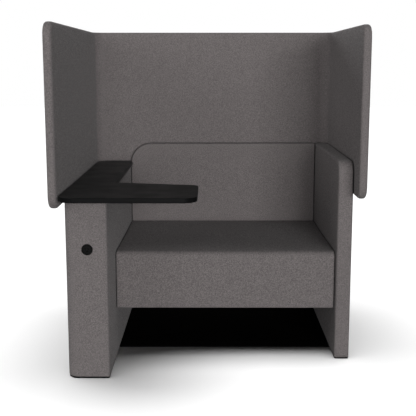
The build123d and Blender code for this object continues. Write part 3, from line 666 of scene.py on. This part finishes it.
mouth_low = dust_low - Vector((DUST_GAP, DUST_GAP, 0))
mouth_high = dust_high + Vector((DUST_GAP, DUST_GAP, 0))
for axis in (0, 1):
    cut_bottom(seat, axis, mouth_low[axis])
    cut_bottom(seat, axis, mouth_high[axis])
open_piece(seat, "FACE")
mouth_faces = pick_faces(seat, is_in_mouth)
draw_on((0, 0, DUST_RECESS))
leave_edit_mode()
print("dust recess:", mouth_faces, "faces")
dress(seat, FABRIC, "fabric", CHAIR, "seat_cover", "seat_foam")

# %% [markdown]
# ### The arm
# The arm is a slab whose front top corner is round, and whose top and front edges are softer than
# the back's. Its rear outer corner follows the bend of the screen.

# %% Arm
ARM_CORNER_RADIUS = 50 * MM
ARM_EDGE_RADIUS = 10 * MM
REAR_CORNER_RADIUS = SCREEN_INNER_RADIUS - 0.5 * MM
ARM_SWELL = 2.5 * MM
ARM_GAP = 0.5 * MM
ARM_HELD = 10 * MM
FRONT_SHARE = 0.5


def is_arm_rim(a, b):
    on_side = same(a.x, b.x) and (same(a.x, arm_low.x) or same(a.x, arm_high.x))
    is_low = same(a.z, arm_low.z) and same(b.z, arm_low.z)
    is_rear = same(a.y, arm_high.y) and same(b.y, arm_high.y)
    return on_side and not is_low and not is_rear


def arm_freedom(place):
    """Free on the top and the front, above the seat inside, and below the screen outside."""
    if place.z < arm_low.z + ARM_HELD or place.y > back_low.y - ARM_HELD:
        return 0
    if same(place.x, arm_low.x, TOUCH):
        above = smooth_step(place.z, seat_high.z, seat_high.z + FADE)
        ahead = smooth_step(seat_low.y - place.y, 0, FADE)
        return max(above, ahead)
    if same(place.x, arm_high.x, TOUCH):
        return smooth_step(screen_low.z - place.z, 0, FADE)
    return FRONT_SHARE


arm_high.x -= ARM_GAP
arm = add_block("arm_padding", arm_low, arm_high)
round_edges(arm, edge_at(y=arm_low.y, z=arm_high.z), ARM_CORNER_RADIUS, segments=8)
round_edges(arm, edge_at(x=arm_high.x, y=arm_high.y), REAR_CORNER_RADIUS, segments=8)
round_rims(arm, ARM_EDGE_RADIUS, segments=4, is_kept=lambda a, b: not is_arm_rim(a, b))
cut_at(arm, 1, even_cuts(arm_low.y + ARM_CORNER_RADIUS, arm_high.y - REAR_CORNER_RADIUS))
cut_at(arm, 2, even_cuts(arm_low.z, arm_high.z - ARM_CORNER_RADIUS))
cut_at(arm, 0, [arm_low.x + ARM_EDGE_RADIUS, (arm_low.x + arm_high.x) / 2,
                arm_high.x - ARM_EDGE_RADIUS])
swell(arm, ARM_SWELL, arm_freedom)
finish_soft(arm)
dress(arm, FABRIC, "fabric", CHAIR, "arm_cover", "arm_foam")

# %% [markdown]
# ### The pedestal
# The pedestal's upright edges differ: a wide radius outside, a small one towards the seat. The
# outlet sits in a hole in its front, cut with a Boolean after the cover has swelled. Round the
# outlet the cover stays where it was, because the rim presses it flat.

# %% Pedestal
PEDESTAL_OUTER_RADIUS = 45 * MM
PEDESTAL_INNER_RADIUS = 8 * MM
PEDESTAL_RIM_RADIUS = 3 * MM
PEDESTAL_SWELL = 2 * MM
PEDESTAL_SHARE = 0.3
HOLE_CLEARANCE = 0.1 * MM
HOLE_SIDES = 64

pedestal_low, pedestal_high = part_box("pedestal_cover")
bezel_low, bezel_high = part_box("outlet_bezel")
housing_low, housing_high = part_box("outlet_housing")
outlet_middle = (bezel_low + bezel_high) / 2
bezel_radius = (bezel_high.x - bezel_low.x) / 2


def pedestal_freedom(place):
    if min(place.z - pedestal_low.z, pedestal_high.z - place.z) < PEDESTAL_RIM_RADIUS + TOUCH:
        return 0
    if same(place.x, pedestal_high.x, TOUCH):
        above = smooth_step(place.z, seat_high.z, seat_high.z + FADE)
        ahead = smooth_step(seat_low.y - place.y, 0, FADE)
        before_back = smooth_step(back_low.y - place.y, 0, FADE)
        return max(above * before_back, ahead)
    if same(place.x, pedestal_low.x, TOUCH):
        return smooth_step(screen_low.z - place.z, 0, FADE)
    if same(place.y, pedestal_low.y, TOUCH):
        away = math.hypot(place.x - outlet_middle.x, place.z - outlet_middle.z)
        return smooth_step(away, bezel_radius, bezel_radius + FADE)
    return PEDESTAL_SHARE if place.y < pedestal_high.y - PEDESTAL_OUTER_RADIUS else 0


pedestal = add_block("pedestal_padding", pedestal_low, pedestal_high)
round_edges(pedestal, edge_at(x=pedestal_low.x, y=pedestal_low.y), PEDESTAL_OUTER_RADIUS,
            segments=8)
round_edges(pedestal, edge_at(x=pedestal_high.x, y=pedestal_low.y), PEDESTAL_INNER_RADIUS,
            segments=5)
round_edges(pedestal, edge_at(x=pedestal_low.x, y=pedestal_high.y), REAR_CORNER_RADIUS,
            segments=8)
round_rims(pedestal, PEDESTAL_RIM_RADIUS, segments=2, is_kept=lambda a, b: not same(a.z, b.z))
cut_at(pedestal, 0, even_cuts(pedestal_low.x + PEDESTAL_OUTER_RADIUS,
                              pedestal_high.x - PEDESTAL_INNER_RADIUS))
cut_at(pedestal, 1, even_cuts(pedestal_low.y + PEDESTAL_OUTER_RADIUS,
                              pedestal_high.y - REAR_CORNER_RADIUS))
cut_at(pedestal, 2, even_cuts(pedestal_low.z + PEDESTAL_RIM_RADIUS,
                              pedestal_high.z - PEDESTAL_RIM_RADIUS))
swell(pedestal, PEDESTAL_SWELL, pedestal_freedom)
finish_soft(pedestal)


def cut_outlet_hole(piece):
    """A round hole for the outlet's housing, cut with a cylinder that is removed afterwards."""
    radius = (housing_high.x - housing_low.x) / 2 + HOLE_CLEARANCE
    depth = housing_high.y - bezel_low.y + HOLE_CLEARANCE
    middle = (outlet_middle.x, bezel_low.y + depth / 2, outlet_middle.z)
    leave_edit_mode()
    bpy.ops.object.select_all(action="DESELECT")
    bpy.ops.mesh.primitive_cylinder_add(vertices=HOLE_SIDES, radius=radius, depth=depth,
                                        location=middle, rotation=(math.pi / 2, 0, 0))
    cutter = bpy.context.object
    select_only(piece)
    hole = piece.modifiers.new("hole", "BOOLEAN")
    hole.operation, hole.solver, hole.object = "DIFFERENCE", "EXACT", cutter
    bpy.ops.object.modifier_apply(modifier=hole.name)
    bpy.data.objects.remove(cutter)
    bpy.ops.object.shade_smooth_by_angle(angle=SHARP)


cut_outlet_hole(pedestal)
dress(pedestal, FABRIC, "fabric", CHAIR, "pedestal_cover", "pedestal_foam")

# %% [markdown]
# ### The dust cover
# A black non-woven cloth is stapled under the seat frame. It is a thin sheet, tight at its edges,
# that hangs a little in the middle.

# %% Dust cover
DUST_SAG = 2 * MM
DUST_THICKNESS = 0.6 * MM
DUST_GRID = (36, 28)


def make_textile():
    """A flat black cloth of pressed fibres."""
    finish = Finish("black_textile")
    fuzz = finish.noise(700, detail=3, roughness=0.7)
    tone = finish.ramp(fuzz, [(0.35, grey(0.012)), (0.65, grey(0.03))])
    return finish.set(Base_Color=tone, Normal=finish.bump(fuzz, 0.3 * MM, 0.6), Roughness=0.9,
                      Specular_IOR_Level=0.2)


TEXTILE = make_textile()


def make_dust_cover():
    leave_edit_mode()
    bpy.ops.object.select_all(action="DESELECT")
    width, length = dust_high.x - dust_low.x, dust_high.y - dust_low.y
    middle = (dust_low + dust_high) / 2
    bpy.ops.mesh.primitive_grid_add(x_subdivisions=DUST_GRID[0], y_subdivisions=DUST_GRID[1],
                                    size=1, location=middle)
    cloth = bpy.context.object
    cloth.name = cloth.data.name = "dust_cover"
    cloth.scale = (width, length, 1)
    bpy.ops.object.transform_apply(location=True, rotation=True, scale=True)
    for point in cloth.data.vertices:
        across = 1 - (2 * (point.co.x - middle.x) / width) ** 2
        along = 1 - (2 * (point.co.y - middle.y) / length) ** 2
        point.co.z -= DUST_SAG * across * along
    thick = cloth.modifiers.new("thick", "SOLIDIFY")
    thick.thickness, thick.offset = DUST_THICKNESS, 0
    bpy.ops.object.modifier_apply(modifier=thick.name)
    bpy.ops.object.shade_smooth_by_angle(angle=SHARP)
    return cloth, (width, length)


dust_cover, dust_size = make_dust_cover()
dress(dust_cover, TEXTILE, "black_textile", CHAIR, "seat_dust_cover")

# %% [markdown]
# ## Finishes for the rigid pieces
# The worktop is a dense black board with a matte, slightly grained face. Handling has polished it
# a little in places, so its roughness wanders. The base board is rougher, and its near-black
# colour is partly painted shade: under the seat it stands in for the shadow on the floor there.
# The outlet's rim and face are matte too, and stay dark.

# %% Hard black finishes
def make_black(name, colour, roughness, grain_scale, grain_depth, gloss=0.15, velvet=0.0):
    finish = Finish(name)
    clouds = finish.noise(9, detail=3)
    grain = finish.noise(grain_scale, detail=4, roughness=0.6)
    tone = finish.ramp(clouds, [(0.3, shade(colour, 0.88)), (0.7, shade(colour, 1.12))])
    rough = finish.node("MapRange", {"Value": clouds, "From Min": 0.3, "From Max": 0.7,
                                     "To Min": roughness - 0.05, "To Max": roughness + 0.05})
    return finish.set(Base_Color=tone, Normal=finish.bump(grain, grain_depth, 0.5),
                      Roughness=rough.outputs["Result"], Specular_IOR_Level=gloss,
                      Sheen_Weight=velvet, Sheen_Roughness=0.4)


WORKTOP = make_black("worktop_black", (0.004, 0.004, 0.0042), 0.45, 900, 0.12 * MM, gloss=0.04,
                     velvet=0.016)
# The base board's near black is partly painted shade: under the seat it stands in for the shadow
# there.
BASE_BLACK_AND_PAINTED_SHADE = make_black("base_black_and_painted_shade", grey(0.002), 0.85, 500, 0.2 * MM, gloss=0.02)
OUTLET_RIM = make_black("outlet_rim", grey(0.003), 0.5, 700, 0.03 * MM, gloss=0.04)
OUTLET_FACE = make_black("outlet_face", grey(0.005), 0.6, 800, 0.05 * MM, gloss=0.05)
NYLON = make_black("nylon", grey(0.02), 0.55, 600, 0.08 * MM)
RUBBER = make_black("rubber", grey(0.015), 0.8, 400, 0.1 * MM)

# %% [markdown]
# ### Wood, metal and foam
# These lie inside the chair, or under it. Plywood shows long grain, drawn by stretching a noise
# along one axis. Zinc-plated steel shows a fine brushing, and foam shows open cells. The outlet's
# brass contacts are dull, and their near-black colour is painted shade for their place deep in the
# slots.

# %% Inner finishes
def make_plywood():
    finish = Finish("plywood")
    grain = finish.noise(14, detail=6, roughness=0.6, stretch=(1, 1, 14))
    pores = finish.noise(260, detail=3, roughness=0.7, stretch=(1, 1, 0.08))
    tone = finish.ramp(grain, [(0.3, (0.42, 0.28, 0.16)), (0.55, (0.60, 0.44, 0.27)),
                               (0.75, (0.70, 0.54, 0.36))])
    tone = finish.mix(0.35, tone, finish.ramp(pores, [(0.4, (0.35, 0.22, 0.12)),
                                                      (0.6, (0.72, 0.56, 0.38))]))
    return finish.set(Base_Color=tone, Normal=finish.bump(pores, 0.15 * MM, 0.6), Roughness=0.62)


def make_metal(name, colour, roughness):
    finish = Finish(name)
    brushing = finish.noise(220, detail=4, roughness=0.7, stretch=(1, 1, 12))
    tone = finish.ramp(brushing, [(0.3, shade(colour, 0.85)), (0.7, colour)])
    rough = finish.node("MapRange", {"Value": brushing, "To Min": roughness - 0.1,
                                     "To Max": roughness + 0.12})
    return finish.set(Base_Color=tone, Metallic=1.0, Roughness=rough.outputs["Result"],
                      Normal=finish.bump(brushing, 0.03 * MM, 0.4))


def make_foam():
    finish = Finish("foam")
    cells = finish.node("TexVoronoi", {"Vector": finish.places.outputs["Object"], "Scale": 550.0})
    tone = finish.ramp(cells.outputs["Distance"], [(0.1, (0.62, 0.58, 0.44)),
                                                   (0.7, (0.80, 0.77, 0.64))])
    return finish.set(Base_Color=tone, Roughness=0.95,
                      Normal=finish.bump(cells.outputs["Distance"], 0.6 * MM, 0.8))


PLYWOOD = make_plywood()
STEEL = make_metal("zinc_steel", (0.62, 0.63, 0.66), 0.38)
# The brass is near black: painted shade for contacts deep in their slots.
BRASS_PAINTED_SHADE = make_metal("brass", (0.05, 0.04, 0.025), 0.5)
FOAM = make_foam()

# %% [markdown]
# ### One finish for every node
# The record lists each node's material slot, so the slots choose the finishes. A node that a soft
# piece stands for gets one too, although it isn't shown.

# %% Dress the rigid nodes
FINISHES = {
    "fabric": FABRIC,
    "foam": FOAM,
    "black_textile": TEXTILE,
    "black_base": BASE_BLACK_AND_PAINTED_SHADE,
    "black_top": WORKTOP,
    "plywood": PLYWOOD,
    "nylon": NYLON,
    "outlet_rim": OUTLET_RIM,
    "outlet_face": OUTLET_FACE,
    "brass": BRASS_PAINTED_SHADE,
    "rubber": RUBBER,
    "zinc_steel": STEEL,
}
for row in frame["record"]["subparts"]:
    node = nodes[row["node"]]
    node.data.materials.clear()
    node.data.materials.append(FINISHES[row["material_slot"]])
print("dressed", len(nodes), "nodes in", len(FINISHES), "finishes")

# %% [markdown]
# ## Floor and light
# The chair stands on a white floor. Two large soft lights stand far in front, one straight ahead
# and one a little to the right, and almost level, so fronts are bright and tops are dark. They
# stand thirty metres away, because a near light would fade towards the back. Weaker lights fill
# the sides, and one behind shows the rear in the other views. The floor has a light of its own
# from above, which draws the soft shadow under the chair.

# %% Floor
FLOOR_SIZE = 40


def make_floor():
    leave_edit_mode()
    bpy.ops.object.select_all(action="DESELECT")
    bpy.ops.mesh.primitive_plane_add(size=FLOOR_SIZE, location=(0, 0, 0))
    floor = bpy.context.object
    floor.name = "floor"
    finish = Finish("floor_white")
    soft = finish.noise(1.5, detail=2)
    tone = finish.ramp(soft, [(0.3, grey(0.93)), (0.7, grey(0.95))])
    floor.data.materials.append(finish.set(Base_Color=tone, Roughness=0.9, Specular_IOR_Level=0.1))
    floor.visible_diffuse = floor.visible_glossy = False
    return floor


floor = make_floor()

# %% Lights
TARGET = Vector((0, 0, 0.7))
LIGHT_DISTANCE = 30
LIGHTS = {  # name: azimuth and elevation in degrees, size in metres, power in watts
    "front": (0, 2, 9, 3650),
    "key": (14, 3, 10, 6400),
    "side": (-42, 5, 12, 1600),
    "high_left": (-72, 28, 12, 2600),
    "high_right": (72, 28, 12, 1000),
    "rear": (190, 6, 12, 4500),
}
AMBIENT = 0.08


def light_only(light, name, things):
    """Let a light reach only the given things."""
    lit = bpy.data.collections.new(name)
    for thing in things:
        lit.objects.link(thing)
    light.light_linking.receiver_collection = lit


def add_light(name, azimuth, elevation, size, power):
    """A square soft light that faces the chair, from an azimuth and an elevation in degrees."""
    turn, rise = math.radians(azimuth), math.radians(elevation)
    way = Vector((math.sin(turn), -math.cos(turn), math.tan(rise)))
    glow = bpy.data.lights.new(name, "AREA")
    glow.shape, glow.size, glow.energy = "SQUARE", size, power
    light = bpy.data.objects.new(name, glow)
    light.location = TARGET + way * LIGHT_DISTANCE
    light.rotation_euler = way.to_track_quat("Z", "Y").to_euler()
    bpy.context.scene.collection.objects.link(light)
    light_only(light, name + "_reach", chair_things)


def add_floor_glow(strength, spread, lean, azimuth):
    """An even light from above for the floor alone. It leans a little towards an azimuth."""
    sun = bpy.data.lights.new("floor_glow", "SUN")
    sun.energy, sun.angle = strength, math.radians(spread)
    light = bpy.data.objects.new("floor_glow", sun)
    turn = math.radians(azimuth)
    side = math.tan(math.radians(lean))
    source = Vector((math.sin(turn) * side, -math.cos(turn) * side, 1))
    light.rotation_euler = source.to_track_quat("Z", "Y").to_euler()
    bpy.context.scene.collection.objects.link(light)
    light_only(light, "floor_reach", [floor])


chair_things = [thing for thing in bpy.context.scene.objects
                if thing.type == "MESH" and thing != floor]
for name, (azimuth, elevation, size, power) in LIGHTS.items():
    add_light(name, azimuth, elevation, size, power)
add_floor_glow(strength=3.8, spread=50, lean=1, azimuth=-90)
print(len(LIGHTS), "lights on the chair, one on the floor")

# %% [markdown]
# ### The surroundings
# The camera sees plain white round the chair, but as light the surroundings are only a faint
# glow, so the soft lights do the drawing.

# %% World
world = bpy.data.worlds.new("studio")
world.use_nodes = True
bpy.context.scene.world = world
sky = world.node_tree.nodes
background = sky["Background"]
background.inputs["Color"].default_value = (1, 1, 1, 1)
seen = sky.new("ShaderNodeLightPath")
strength = sky.new("ShaderNodeMapRange")
strength.inputs["To Min"].default_value = AMBIENT
strength.inputs["To Max"].default_value = 1.0
world.node_tree.links.new(seen.outputs["Is Camera Ray"], strength.inputs["Value"])
world.node_tree.links.new(strength.outputs["Result"], background.inputs["Strength"])
bpy.context.scene.view_settings.view_transform = "Standard"
